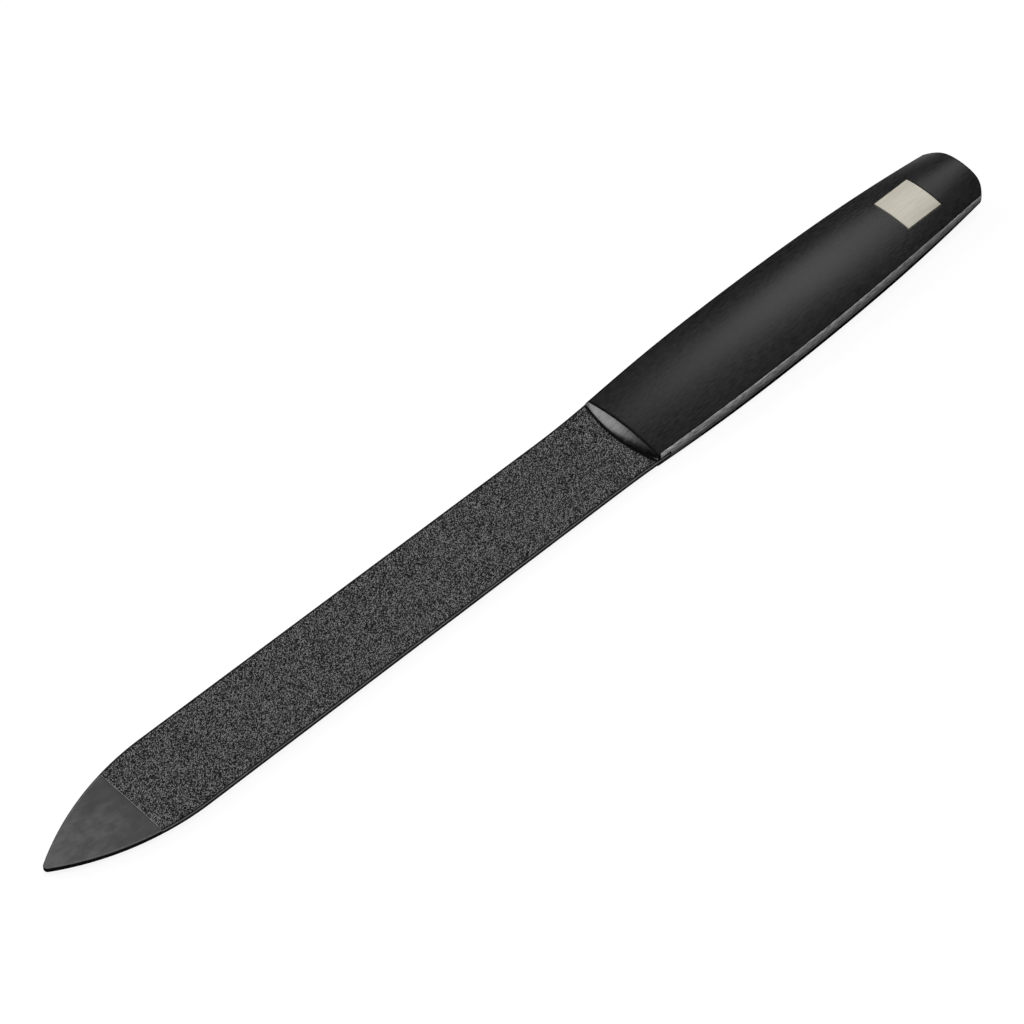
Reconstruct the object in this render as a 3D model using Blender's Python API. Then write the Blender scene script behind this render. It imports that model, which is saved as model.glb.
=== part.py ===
"""Sapphire nail file with a domed two-scale handle, in metres, +X from the point to the handle.

A thin steel blank carries a bonded grit coat on each face. Its broad heel slips into the open
mouth of the handle, and a narrower tang behind the heel is set up by a small angle. Two domed
scales close over the tang. They are bonded along the parting plane and located by two pins.
A bare square plate is let into the upper scale near the handle's end.

A station is a distance along the file from its point. The parting plane of the handle is the
middle plane of the blank, so every handle piece is drawn about height zero and then raised by
the set of the tang.
"""
import math

import bmesh
import bpy
import numpy as np

# Whole file
BLADE_LENGTH = 0.0784
HANDLE_LENGTH = 0.0516

# Steel blank, blade part
BLADE_WIDTH = 0.01056
CORE_THICKNESS = 0.00044
POINT_LENGTH = 0.01675
NOSE_RADIUS = 0.00042
FLARE_LENGTH = 0.0084
FLARE_POWER = 2.5
HEEL_STANDS_OUT = 0.00005

# Steel blank, tang part
HEEL_SEAT = 0.0017
TANG_TO_HANDLE_END = 0.0120
TANG_FRONT_WIDTH = 0.0060
TANG_REAR_WIDTH = 0.0046
TANG_FILLET = 0.0008

# Set of the tang, bent up from the plane of the blade
SET_DEGREES = 1.575
SET_TO_HANDLE = 0.0075
SET_LENGTH = 0.0040

# Grit coats
COAT_THICKNESS = 0.00012
COAT_START = 0.0111
COAT_EDGE_MARGIN = 0.00022
COAT_REACH_UNDER_SCALE = 0.0008
COAT_BOND_GAP = 0.00001

# Handle outline, taken at the upper edge of the side walls
FRONT_TO_WIDEST = 0.0181
FRONT_WIDTH = 0.01030
WIDEST_WIDTH = 0.01140
REAR_WIDTH = 0.00826
REAR_ARC_DEPTH = 0.00136
REAR_ARC_POWER = 4.4

# Handle side walls, measured up from the parting plane and out from their upper edge
WALL_FRONT_HEIGHT = 0.00084
WALL_MIDDLE_HEIGHT = 0.00108
WALL_REAR_HEIGHT = 0.00050
WALL_FRONT_CURVE = 0.0136
WALL_REAR_CURVE = 0.0180
RIDGE_FRONT_OVERHANG = 0.00035
RIDGE_MIDDLE_OVERHANG = 0.00020
RIDGE_REAR_OVERHANG = 0.00010
RIDGE_END_OVERHANG = 0.00004

# Crown of the dome, measured up from the parting plane
CROWN_FRONT_HEIGHT = 0.00115
CROWN_FULL_HEIGHT = 0.00169
CROWN_FRONT_CURVE = 0.0276
EDGE_ROUND = 0.00006

# Shoulder face at the handle's front
SHOULDER_FOOT_BULGE = 0.00079
SHOULDER_TOP_SETBACK = 0.00025
SHOULDER_TOP_HOLLOW = 0.00025

# Mouth and bond between the scales
MOUTH_CLEARANCE = 0.00005
MOUTH_END_CLEARANCE = 0.0001
BOND_THICKNESS = 0.00006
BOND_CLEARANCE = 0.00002
BOND_EDGE_MARGIN = 0.00010
TANG_FACE_CLEARANCE = 0.00002
TANG_SIDE_CLEARANCE = 0.00008

# Locating pins
PIN_DIAMETER = 0.0016
PIN_LENGTH = 0.0020
PIN_CLEARANCE = 0.00002
FRONT_PIN_TO_TANG_START = 0.0069
REAR_PIN_TO_TANG_END = 0.0090

# Plate near the handle's end
PLATE_SIDE = 0.00506
PLATE_TO_HANDLE_END = 0.0084
PLATE_THICKNESS = 0.00030
PLATE_PROUD = 0.00002
PLATE_CLEARANCE = 0.00003

# Cutters reach this far past what they cut
OVERRUN = 0.0005

# Counts of facets
NOSE_STEPS = 8
OGIVE_STEPS = 16
FLARE_STEPS = 8
SET_STEPS = 6
FILLET_STEPS = 5
TANG_END_STEPS = 12
EDGE_ROUND_STEPS = 2
SCALE_ROWS = 30
SCALE_COLUMNS = 18
WALL_STEPS = 3
PLATE_STEPS = 8
PIN_SIDES = 20
SMOOTH_DEGREES = 35.0

# Stations worked out from the sizes above
HANDLE_START = BLADE_LENGTH
HANDLE_END = BLADE_LENGTH + HANDLE_LENGTH
FLARE_START = HANDLE_START - FLARE_LENGTH
SET_START = HANDLE_START - SET_TO_HANDLE
TANG_START = HANDLE_START + HEEL_SEAT
TANG_END = HANDLE_END - TANG_TO_HANDLE_END
WIDEST_STATION = HANDLE_START + FRONT_TO_WIDEST
WALL_FULL_FROM = HANDLE_START + WALL_FRONT_CURVE
WALL_FULL_TO = HANDLE_END - WALL_REAR_CURVE
CROWN_FULL_FROM = HANDLE_START + CROWN_FRONT_CURVE
FRONT_PIN_STATION = TANG_START + FRONT_PIN_TO_TANG_START
REAR_PIN_STATION = TANG_END - REAR_PIN_TO_TANG_END
PLATE_STATION = HANDLE_END - PLATE_TO_HANDLE_END


# Shared measures along the file

def set_rise(station):
    """Height of the middle plane: zero on the blade, a short parabola, then a straight slope."""
    slope = math.tan(math.radians(SET_DEGREES))
    past = np.clip(np.asarray(station, dtype=float) - SET_START, 0.0, None)
    curved = slope * past ** 2 / (2.0 * SET_LENGTH)
    straight = slope * (past - SET_LENGTH / 2.0)
    return np.where(past < SET_LENGTH, curved, straight)


def barrelled(station, front, widest, rear):
    """Two parabolas that meet level at the widest station and reach these values at the ends."""
    station = np.asarray(station, dtype=float)
    front_share = (WIDEST_STATION - station) / FRONT_TO_WIDEST
    rear_share = (station - WIDEST_STATION) / (HANDLE_END - WIDEST_STATION)
    before = widest + (front - widest) * front_share ** 2
    after = widest + (rear - widest) * rear_share ** 2
    return np.where(station < WIDEST_STATION, before, after)


def edge_half_width(station):
    """Half the handle's width at the upper edges of its walls."""
    return barrelled(station, FRONT_WIDTH, WIDEST_WIDTH, REAR_WIDTH) / 2.0


def ridge_half_width(station):
    """Half the handle's width at the parting plane, where the leaning walls meet in a ridge."""
    overhang = barrelled(station, RIDGE_FRONT_OVERHANG, RIDGE_MIDDLE_OVERHANG, RIDGE_REAR_OVERHANG)
    return edge_half_width(station) + overhang


def wall_height(station):
    """Height of a side wall: full along the middle, falling away as a parabola at each end."""
    station = np.asarray(station, dtype=float)
    front_share = np.clip((WALL_FULL_FROM - station) / WALL_FRONT_CURVE, 0.0, None)
    rear_share = np.clip((station - WALL_FULL_TO) / WALL_REAR_CURVE, 0.0, None)
    front_fall = (WALL_MIDDLE_HEIGHT - WALL_FRONT_HEIGHT) * front_share ** 2
    rear_fall = (WALL_MIDDLE_HEIGHT - WALL_REAR_HEIGHT) * rear_share ** 2
    return WALL_MIDDLE_HEIGHT - front_fall - rear_fall


def crown_height(station):
    """Height of the dome's middle line: a parabola up from the front, then level."""
    station = np.asarray(station, dtype=float)
    front_share = np.clip((CROWN_FULL_FROM - station) / CROWN_FRONT_CURVE, 0.0, None)
    return CROWN_FULL_HEIGHT - (CROWN_FULL_HEIGHT - CROWN_FRONT_HEIGHT) * front_share ** 2


def dome_height(station, across):
    """Height of the domed face over the parting plane, a parabola across from wall to wall."""
    side_share = across / edge_half_width(station)
    wall = wall_height(station)
    return wall + (crown_height(station) - wall) * (1.0 - side_share ** 2)


# Shared building steps

def make_material(name, color, roughness, metallic):
    """A plain Principled BSDF with one colour."""
    material = bpy.data.materials.new(name)
    material.use_nodes = True
    shader = material.node_tree.nodes["Principled BSDF"]
    shader.inputs["Base Color"].default_value = color
    shader.inputs["Roughness"].default_value = roughness
    shader.inputs["Metallic"].default_value = metallic
    return material


def raise_by_set(mesh_data):
    """Lift every point by the set of the tang at its station."""
    points = np.array([vertex.co for vertex in mesh_data.verts])
    for vertex, lift in zip(mesh_data.verts, set_rise(points[:, 0])):
        vertex.co.z += float(lift)


def add_object(name, mesh_data, root, material):
    """Turn a bmesh into a named object hung on the root empty, with the tip at station zero."""
    mesh = bpy.data.meshes.new(name)
    mesh_data.to_mesh(mesh)
    mesh_data.free()
    piece = bpy.data.objects.new(name, mesh)
    bpy.context.scene.collection.objects.link(piece)
    piece.parent = root
    if material is not None:
        mesh.materials.append(material)
    return piece


def shade_round(piece):
    """Smooth shading, kept sharp across every edge that turns by more than the limit."""
    piece.data.shade_smooth()
    piece.data.set_sharp_from_angle(angle=math.radians(SMOOTH_DEGREES))


def sheet_mesh(outline, low, high):
    """A flat sheet with this plan outline, sliced across where the tang is bent, then raised."""
    sheet = bmesh.new()
    lower = [sheet.verts.new((x, y, low)) for x, y in outline]
    upper = [sheet.verts.new((x, y, high)) for x, y in outline]
    sheet.faces.new(upper)
    sheet.faces.new(lower[::-1])
    for index in range(len(outline)):
        after = (index + 1) % len(outline)
        sheet.faces.new((lower[index], lower[after], upper[after], upper[index]))
    for station in np.linspace(SET_START, SET_START + SET_LENGTH, SET_STEPS + 1):
        bmesh.ops.bisect_plane(sheet, geom=sheet.verts[:] + sheet.edges[:] + sheet.faces[:],
                               plane_co=(station, 0.0, 0.0), plane_no=(1.0, 0.0, 0.0))
    raise_by_set(sheet)
    return sheet


def both_sides(half):
    """Close a half outline, given from the point to the rear, with its mirror image."""
    mirrored = [(x, -y) for x, y in half if y > 0.0]
    return mirrored + half[::-1]


# Steel blank: blade, heel and tang in one piece

def side_arc_radius():
    """Radius of the arcs that draw the blade in, touching its straight edges and the nose."""
    half_width = BLADE_WIDTH / 2.0
    run = POINT_LENGTH - NOSE_RADIUS
    return (run ** 2 / (half_width - NOSE_RADIUS) + NOSE_RADIUS + half_width) / 2.0


def blade_half_width(station):
    """Half the blade's width: the point's arc, the straight part, the flare out to the heel."""
    station = np.asarray(station, dtype=float)
    radius = side_arc_radius()
    before = np.clip(POINT_LENGTH - station, 0.0, None)
    arc = BLADE_WIDTH / 2.0 - radius + np.sqrt(radius ** 2 - before ** 2)
    heel = float(ridge_half_width(TANG_START)) + HEEL_STANDS_OUT
    share = np.clip((station - FLARE_START) / (TANG_START - FLARE_START), 0.0, None)
    return arc + (heel - BLADE_WIDTH / 2.0) * share ** FLARE_POWER


def nose_half():
    """The rounded nose: an arc from the point to where it touches the side arc."""
    radius = side_arc_radius()
    full_turn = math.asin((radius - BLADE_WIDTH / 2.0) / (radius - NOSE_RADIUS))
    sweep = np.linspace(0.0, full_turn, NOSE_STEPS + 1)
    return [(NOSE_RADIUS * (1.0 - math.cos(turn)), NOSE_RADIUS * math.sin(turn)) for turn in sweep]


def blade_half(start, end):
    """Edge of the blade between two stations, with points only where it curves."""
    curved = np.linspace(start, POINT_LENGTH, OGIVE_STEPS + 1)
    flared = np.linspace(FLARE_START, end, FLARE_STEPS + 1)
    return [(float(x), float(blade_half_width(x))) for x in (*curved, *flared)]


def tang_half(grow):
    """Half the tang's outline behind the heel, grown evenly for the pocket around it."""
    front = TANG_FRONT_WIDTH / 2.0 + grow
    rear = TANG_REAR_WIDTH / 2.0 + grow
    turns = np.linspace(0.0, math.pi / 2.0, FILLET_STEPS + 1)
    fillet = [(TANG_START + TANG_FILLET * (1.0 - math.cos(turn)),
               front + TANG_FILLET * (1.0 - math.sin(turn))) for turn in turns]
    middle = TANG_END + grow - rear
    turns = np.linspace(math.pi / 2.0, 0.0, TANG_END_STEPS + 1)
    end = [(middle + rear * math.cos(turn), rear * math.sin(turn)) for turn in turns[:-1]]
    return fillet + end + [(middle + rear, 0.0)]


def build_blank(root, material):
    """The steel blank: nose, point, blade, flare, heel and tang cut from one sheet."""
    nose = nose_half()
    half = nose + blade_half(nose[-1][0], TANG_START)[1:] + tang_half(0.0)
    blank = sheet_mesh(both_sides(half), -CORE_THICKNESS / 2.0, CORE_THICKNESS / 2.0)
    piece = add_object("file_blank", blank, root, material)
    for place in (FRONT_PIN_STATION, REAR_PIN_STATION):
        hole = pin_cutter("tang_hole_cutter", place, root)
        cut(piece, hole)
    return piece


# Grit coats on the two faces of the blade

def coat_outline():
    """The coated field: square across behind the bare point, just inside the blade's edges."""
    coat_end = HANDLE_START + COAT_REACH_UNDER_SCALE
    curved = np.linspace(COAT_START, POINT_LENGTH, OGIVE_STEPS // 2 + 1)
    flared = np.linspace(FLARE_START, coat_end, FLARE_STEPS + 1)
    half = [(float(x), float(blade_half_width(x)) - COAT_EDGE_MARGIN) for x in (*curved, *flared)]
    return both_sides(half)


def build_coat(name, side, root, material):
    """One grit coat, on the upper (side 1) or lower (side -1) face of the blade."""
    near = side * (CORE_THICKNESS / 2.0 + COAT_BOND_GAP)
    far = side * (CORE_THICKNESS / 2.0 + COAT_THICKNESS)
    coat = sheet_mesh(coat_outline(), min(near, far), max(near, far))
    return add_object(name, coat, root, material)


# Handle scales

def mouth_half_height():
    """Height of the mouth's roof: the blank's half thickness, the coat and a clearance."""
    return CORE_THICKNESS / 2.0 + COAT_THICKNESS + MOUTH_CLEARANCE


def parting_height():
    """Height of a scale's flat face: half the bond and the clearance beside it."""
    return BOND_THICKNESS / 2.0 + BOND_CLEARANCE


def bow(share):
    """How far out a wall has come at a share of the way down: a parabola, upright at its foot."""
    return share * (2.0 - share)


def shoulder_rows(shares):
    """Stations of the shoulder's upper edge and of its base on the parting plane.

    The foot on the mouth's roof is an arc that swells towards the point. The upper edge lies
    behind it and is slightly hollow. The base carries the bowed face on from the upper edge
    through the foot down to the parting plane.
    """
    swell = 1.0 - shares ** 2
    foot = HANDLE_START - SHOULDER_FOOT_BULGE * swell
    top = HANDLE_START + SHOULDER_TOP_SETBACK + SHOULDER_TOP_HOLLOW * swell
    top_height = dome_height(top, shares * edge_half_width(top))
    foot_share = (top_height - mouth_half_height()) / (top_height - parting_height())
    base = top - (top - foot) / bow(foot_share)
    return top, base


def rear_arc(shares):
    """Stations of the rear end's upper edge: nearly flat in the middle, falling at the sides."""
    edge_end = HANDLE_END - RIDGE_END_OVERHANG
    return edge_end - REAR_ARC_DEPTH * np.abs(shares) ** REAR_ARC_POWER


def scale_points():
    """Grid of points on the domed face and on the base below it, each row by column."""
    shares = np.sin(np.linspace(-1.0, 1.0, SCALE_COLUMNS + 1) * math.pi / 2.0)
    along = np.linspace(0.0, 1.0, SCALE_ROWS + 1)[:, None]
    front_top, front_base = shoulder_rows(shares)
    rear_top = rear_arc(shares)
    x = front_top + (rear_top - front_top) * along
    y = shares * edge_half_width(x)
    top = np.stack([x, y, dome_height(x, y)], axis=-1)
    x = front_base + (rear_top + RIDGE_END_OVERHANG - front_base) * along
    y = shares * ridge_half_width(x)
    base = np.stack([x, y, np.full_like(x, parting_height())], axis=-1)
    return top, base


def rim_of(grid):
    """Points around the edge of a grid, anticlockwise seen from above, each once."""
    return np.concatenate([grid[:-1, 0], grid[-1, :-1], grid[:0:-1, -1], grid[0, :0:-1]])


def wall_level(top, base, share):
    """Grid between the domed face and the base, at a share of the way down the bowed walls."""
    return top + (base - top) * np.array([bow(share), bow(share), share])


def scale_mesh(side):
    """One scale before its pockets are cut: domed face, walls with rounded rims, flat base."""
    top, base = scale_points()
    mirror = np.array([1.0, 1.0, float(side)])
    scale = bmesh.new()
    grid = [[scale.verts.new(point * mirror) for point in row] for row in top]
    rim = list(rim_of(np.array(grid, dtype=object)))
    loops = [rim]
    for share in np.linspace(0.0, 1.0, WALL_STEPS + 1)[1:]:
        level = rim_of(wall_level(top, base, share))
        loops.append([scale.verts.new(point * mirror) for point in level])
    for row in range(SCALE_ROWS):
        for column in range(SCALE_COLUMNS):
            scale.faces.new((grid[row][column], grid[row + 1][column],
                             grid[row + 1][column + 1], grid[row][column + 1]))
    for upper, lower in zip(loops, loops[1:]):
        for index in range(len(rim)):
            after = (index + 1) % len(rim)
            scale.faces.new((lower[index], lower[after], upper[after], upper[index]))
    scale.faces.new(loops[-1][::-1])
    rim_edges = [scale.edges.get((rim[i - 1], rim[i])) for i in range(len(rim))]
    bmesh.ops.bevel(scale, geom=rim_edges, offset=EDGE_ROUND, segments=EDGE_ROUND_STEPS,
                    profile=0.5, affect="EDGES", clamp_overlap=True)
    if side < 0:
        bmesh.ops.reverse_faces(scale, faces=scale.faces[:])
    raise_by_set(scale)
    return scale


def cut(piece, cutter):
    """Take the cutter's shape out of a piece."""
    boolean = piece.modifiers.new(cutter.name, "BOOLEAN")
    boolean.operation = "DIFFERENCE"
    boolean.solver = "EXACT"
    boolean.object = cutter


def add_cutter(name, mesh_data, root):
    """An object that only cuts others, shown as wire and left out of the part."""
    cutter = add_object(name, mesh_data, root, None)
    cutter.hide_render = True
    cutter.display_type = "WIRE"
    return cutter


def mouth_cutter(root):
    """The open mouth for the heel, across the whole front of the handle."""
    front = HANDLE_START - 2.0 * SHOULDER_FOOT_BULGE - SHOULDER_TOP_SETBACK - OVERRUN
    rear = TANG_START + MOUTH_END_CLEARANCE
    reach = float(ridge_half_width(WIDEST_STATION)) + OVERRUN
    outline = [(front, -reach), (rear, -reach), (rear, reach), (front, reach)]
    height = mouth_half_height()
    return add_cutter("mouth_cutter", sheet_mesh(outline, -height, height), root)


def pocket_cutter(root):
    """The pocket around the tang, running forward into the mouth."""
    half = tang_half(TANG_SIDE_CLEARANCE)
    half = [(TANG_START - OVERRUN, half[0][1])] + half
    height = CORE_THICKNESS / 2.0 + TANG_FACE_CLEARANCE
    return add_cutter("tang_pocket_cutter", sheet_mesh(both_sides(half), -height, height), root)


def pin_mesh(place, radius, height):
    """A round bar standing across the parting plane at a station."""
    turns = np.arange(PIN_SIDES) * 2.0 * math.pi / PIN_SIDES
    outline = [(place + radius * math.cos(turn), radius * math.sin(turn)) for turn in turns]
    return sheet_mesh(outline, -height / 2.0, height / 2.0)


def pin_cutter(name, place, root):
    """The bore for a pin, a clearance wider and longer than the pin."""
    radius = PIN_DIAMETER / 2.0 + PIN_CLEARANCE
    return add_cutter(name, pin_mesh(place, radius, PIN_LENGTH + 2.0 * PIN_CLEARANCE), root)


def build_scale(name, side, cutters, root, material):
    """One handle scale with its mouth, tang pocket and blind pin bores cut."""
    piece = add_object(name, scale_mesh(side), root, material)
    shade_round(piece)
    for cutter in cutters:
        cut(piece, cutter)
    return piece


# Locating pins through the tang

def build_pin(name, place, root, material):
    """A short dowel through the tang, its ends in the blind bores of both scales."""
    pin = add_object(name, pin_mesh(place, PIN_DIAMETER / 2.0, PIN_LENGTH), root, material)
    shade_round(pin)
    return pin


# Bond between the scales

def build_bond(root, material):
    """The cured bond: a thin film over the parting plane, open at the front around the tang."""
    shares = np.sin(np.linspace(-1.0, 1.0, SCALE_COLUMNS + 1) * math.pi / 2.0)
    start = TANG_START + MOUTH_END_CLEARANCE + BOND_EDGE_MARGIN
    rows = np.linspace(start, HANDLE_END - REAR_ARC_DEPTH - BOND_EDGE_MARGIN, SCALE_ROWS + 1)
    edge = ridge_half_width(rows) - BOND_EDGE_MARGIN
    ends = rear_arc(shares) + RIDGE_END_OVERHANG - BOND_EDGE_MARGIN
    end_reach = shares * edge[-1]
    near_side = list(zip(rows[:-1], -edge[:-1]))
    rear_side = list(zip(ends, end_reach))
    far_side = list(zip(rows[-2::-1], edge[-2::-1]))
    window = tang_half(TANG_SIDE_CLEARANCE + BOND_EDGE_MARGIN)
    window = [(x, y) for x, y in window if x > start]
    window = [(start, window[0][1])] + window
    inner = window + [(x, -y) for x, y in window[-2::-1]]
    outline = near_side + rear_side + far_side + inner
    film = sheet_mesh(outline, -BOND_THICKNESS / 2.0, BOND_THICKNESS / 2.0)
    return add_object("bond_film", film, root, material)


# Bare plate let into the upper scale

def dome_slab(side_length, low, high):
    """A square slab that follows the dome, between two depths measured from its face."""
    steps = np.linspace(-side_length / 2.0, side_length / 2.0, PLATE_STEPS + 1)
    x, y = np.meshgrid(PLATE_STATION + steps, steps, indexing="ij")
    face = dome_height(x, y)
    upper = np.stack([x, y, face + high], axis=-1)
    lower = np.stack([x, y, face + low], axis=-1)
    slab = bmesh.new()
    top = [[slab.verts.new(point) for point in row] for row in upper]
    bottom = [[slab.verts.new(point) for point in row] for row in lower]
    for i in range(PLATE_STEPS):
        for j in range(PLATE_STEPS):
            slab.faces.new((top[i][j], top[i + 1][j], top[i + 1][j + 1], top[i][j + 1]))
            slab.faces.new((bottom[i][j], bottom[i][j + 1], bottom[i + 1][j + 1], bottom[i + 1][j]))
    top_rim = list(rim_of(np.array(top, dtype=object)))
    bottom_rim = list(rim_of(np.array(bottom, dtype=object)))
    for index in range(len(top_rim)):
        after = (index + 1) % len(top_rim)
        slab.faces.new((bottom_rim[index], bottom_rim[after], top_rim[after], top_rim[index]))
    raise_by_set(slab)
    return slab


def recess_cutter(root):
    """The recess for the plate, a clearance wider and deeper than the plate."""
    depth = PLATE_THICKNESS - PLATE_PROUD + PLATE_CLEARANCE
    slab = dome_slab(PLATE_SIDE + 2.0 * PLATE_CLEARANCE, -depth, OVERRUN)
    return add_cutter("plate_recess_cutter", slab, root)


def build_plate(root, material):
    """The square plate, its face curved with the dome and a hair proud of it."""
    slab = dome_slab(PLATE_SIDE, PLATE_PROUD - PLATE_THICKNESS, PLATE_PROUD)
    return add_object("badge_plate", slab, root, material)


# Assembly

def lowest_point():
    """Height of the lower scale's lowest line, along the middle of its dome."""
    top, _ = scale_points()
    middle = top[:, SCALE_COLUMNS // 2]
    return float(np.min(set_rise(middle[:, 0]) - middle[:, 2]))


def build_file():
    """Build every piece around one root empty that sits at the file's point."""
    for leftover in list(bpy.data.objects):
        bpy.data.objects.remove(leftover, do_unlink=True)
    root = bpy.data.objects.new("file_root", None)
    bpy.context.scene.collection.objects.link(root)
    root.location = (-HANDLE_END / 2.0, 0.0, -lowest_point())

    dark_steel = make_material("dark_steel", (0.075, 0.075, 0.078, 1.0), 0.42, 1.0)
    coarse = make_material("coarse_grit", (0.045, 0.045, 0.047, 1.0), 0.85, 0.0)
    fine = make_material("fine_grit", (0.055, 0.055, 0.057, 1.0), 0.80, 0.0)
    black_steel = make_material("black_brushed_steel", (0.028, 0.028, 0.029, 1.0), 0.38, 1.0)
    plate_steel = make_material("bright_plate", (0.60, 0.57, 0.50, 1.0), 0.30, 1.0)
    pin_steel = make_material("pin_steel", (0.55, 0.55, 0.56, 1.0), 0.30, 1.0)
    resin = make_material("cured_resin", (0.02, 0.02, 0.02, 1.0), 0.55, 0.0)

    build_blank(root, dark_steel)
    build_coat("coarse_grit_coat", 1, root, coarse)
    build_coat("fine_grit_coat", -1, root, fine)
    shared = [mouth_cutter(root), pocket_cutter(root)]
    shared += [pin_cutter("pin_bore_cutter", place, root)
               for place in (FRONT_PIN_STATION, REAR_PIN_STATION)]
    build_scale("upper_scale", 1, shared + [recess_cutter(root)], root, black_steel)
    build_scale("lower_scale", -1, shared, root, black_steel)
    build_bond(root, resin)
    build_pin("front_tang_pin", FRONT_PIN_STATION, root, pin_steel)
    build_pin("rear_tang_pin", REAR_PIN_STATION, root, pin_steel)
    build_plate(root, plate_steel)


build_file()
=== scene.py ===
"""Looks of a sapphire nail file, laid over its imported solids. All lengths are in metres.

The file lies along X with its point at the low end. A station is a distance from the point.
Heights are taken from the middle plane of the steel blank, which is also the parting plane
of the handle, and each finished shape is then raised with the bend of the tang.
"""
import math

import bmesh
import bpy
import numpy as np
from mathutils import Matrix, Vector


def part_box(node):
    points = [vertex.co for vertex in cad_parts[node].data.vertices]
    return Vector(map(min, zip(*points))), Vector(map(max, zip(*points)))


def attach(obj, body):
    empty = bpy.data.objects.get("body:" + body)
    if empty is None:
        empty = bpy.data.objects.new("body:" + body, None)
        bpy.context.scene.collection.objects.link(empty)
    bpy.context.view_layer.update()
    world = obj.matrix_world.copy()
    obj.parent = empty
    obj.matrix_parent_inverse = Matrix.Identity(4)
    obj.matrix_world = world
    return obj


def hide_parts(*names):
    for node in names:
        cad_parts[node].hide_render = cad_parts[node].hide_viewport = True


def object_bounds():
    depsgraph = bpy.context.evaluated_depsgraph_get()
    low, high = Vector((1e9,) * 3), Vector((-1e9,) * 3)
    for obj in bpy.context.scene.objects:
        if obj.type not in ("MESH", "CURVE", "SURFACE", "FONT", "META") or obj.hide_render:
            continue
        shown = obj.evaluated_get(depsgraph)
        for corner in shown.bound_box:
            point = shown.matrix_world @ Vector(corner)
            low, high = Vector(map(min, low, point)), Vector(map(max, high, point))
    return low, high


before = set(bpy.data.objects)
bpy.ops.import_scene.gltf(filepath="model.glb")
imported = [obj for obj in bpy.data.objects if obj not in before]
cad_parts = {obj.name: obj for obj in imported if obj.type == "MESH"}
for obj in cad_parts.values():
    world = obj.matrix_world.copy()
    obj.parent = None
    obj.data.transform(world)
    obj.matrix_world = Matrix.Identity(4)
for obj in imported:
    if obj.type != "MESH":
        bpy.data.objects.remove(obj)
solid_box = [list(corner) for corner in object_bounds()]

# Steel blank. One strip of hardened steel, cut to a pointed blade with a flared heel and a
# narrow tang that is bent up a little and runs back inside the handle. It is ground smooth and
# blackened, its edges are broken by a fine radius, and two holes in the tang take the pins.
MM = 0.001
BLADE_HALF_WIDTH = 5.30 * MM
BLANK_THICKNESS = 0.44 * MM
BLANK_EDGE_RADIUS = 0.05 * MM
# The bright band is partly rubbed and partly a painted highlight; the band inside it is dark from
# binder and painted shadow.
RUBBED_AND_HIGHLIGHT_INSET = 0.13 * MM
BINDER_AND_SHADOW_INSET = 0.24 * MM
POINT_LENGTH = 16.75 * MM
NOSE_RADIUS = 0.46 * MM
POINT_THICKER = 0.6
COAT_START = 11.1 * MM
FLARE_START = 70.0 * MM
FLARE_POWER = 2.5
HEEL_END = 80.1 * MM
HEEL_HALF_WIDTH = 5.621 * MM
HEEL_BACK_SLANT = 0.02 * MM
BEND_START = 70.9 * MM
BEND_LENGTH = 4.0 * MM
BEND_SLOPE = math.tan(math.radians(1.575))
TANG_END = 118.0 * MM
TANG_FRONT_HALF = 3.0 * MM
TANG_REAR_HALF = 2.3 * MM
TANG_FILLET = 0.8 * MM
PIN_STATIONS = (87.0 * MM, 109.0 * MM)
PIN_HOLE_RADIUS = 0.82 * MM
PIN_HOLE_REACH = 1.02 * MM
NOSE_POINTS, ARC_POINTS, STRAIGHT_POINTS, FLARE_POINTS = 11, (40, 22), 12, 34
FILLET_POINTS, TANG_END_POINTS, BORE_POINTS = 7, 15, 48
EDGE_STEPS = 4
MERGE_DISTANCE = 0.0005 * MM
SHARP_DEGREES = 35.0
FLAT, SIDE, RUBBED_AND_PAINTED_HIGHLIGHT, BINDER_AND_PAINTED_SHADOW = 0, 1, 2, 3
POINT_X = solid_box[0][0]
MIDDLE_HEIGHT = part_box("file_blank")[0].z + BLANK_THICKNESS / 2


def bend_rise(station):
    """How far the bend of the tang has raised a station.

    It is zero on the blade, then slope times distance squared over twice the bend's length,
    then a straight slope that carries on from the middle of the bend.
    """
    past = np.clip(station - BEND_START, 0, None)
    curved = BEND_SLOPE * past ** 2 / (2 * BEND_LENGTH)
    straight = BEND_SLOPE * (past - BEND_LENGTH / 2)
    return np.where(past < BEND_LENGTH, curved, straight)


def placed(points):
    """Stations and heights turned into places on the finished file.

    The point's own x is added to the station. The middle plane's height and the rise of the
    bend are added to the height.
    """
    rise = bend_rise(points[..., 0])
    return points + np.stack([rise * 0 + POINT_X, rise * 0, rise + MIDDLE_HEIGHT], axis=-1)


def point_arc_radius():
    """Radius of the arcs that draw the blade in to its nose.

    It is (run squared / (half width - nose) + nose + half width) / 2, so that each arc
    touches both the straight edge and the nose.
    """
    run = POINT_LENGTH - NOSE_RADIUS
    return (run ** 2 / (BLADE_HALF_WIDTH - NOSE_RADIUS) + NOSE_RADIUS + BLADE_HALF_WIDTH) / 2


def blade_half_width(station):
    """Half the blade's width: an arc in to the nose, a straight part, a flare to the heel.

    The arc lowers the half width by its radius less the root of (radius squared less the
    distance ahead of the straight part squared). The flare grows as a power of its share.
    """
    radius = point_arc_radius()
    before = np.clip(POINT_LENGTH - station, 0, None)
    arc = BLADE_HALF_WIDTH - radius + np.sqrt(radius ** 2 - before ** 2)
    share = np.clip((station - FLARE_START) / (HEEL_END - FLARE_START), 0, None)
    return arc + (HEEL_HALF_WIDTH - BLADE_HALF_WIDTH) * share ** FLARE_POWER


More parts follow.
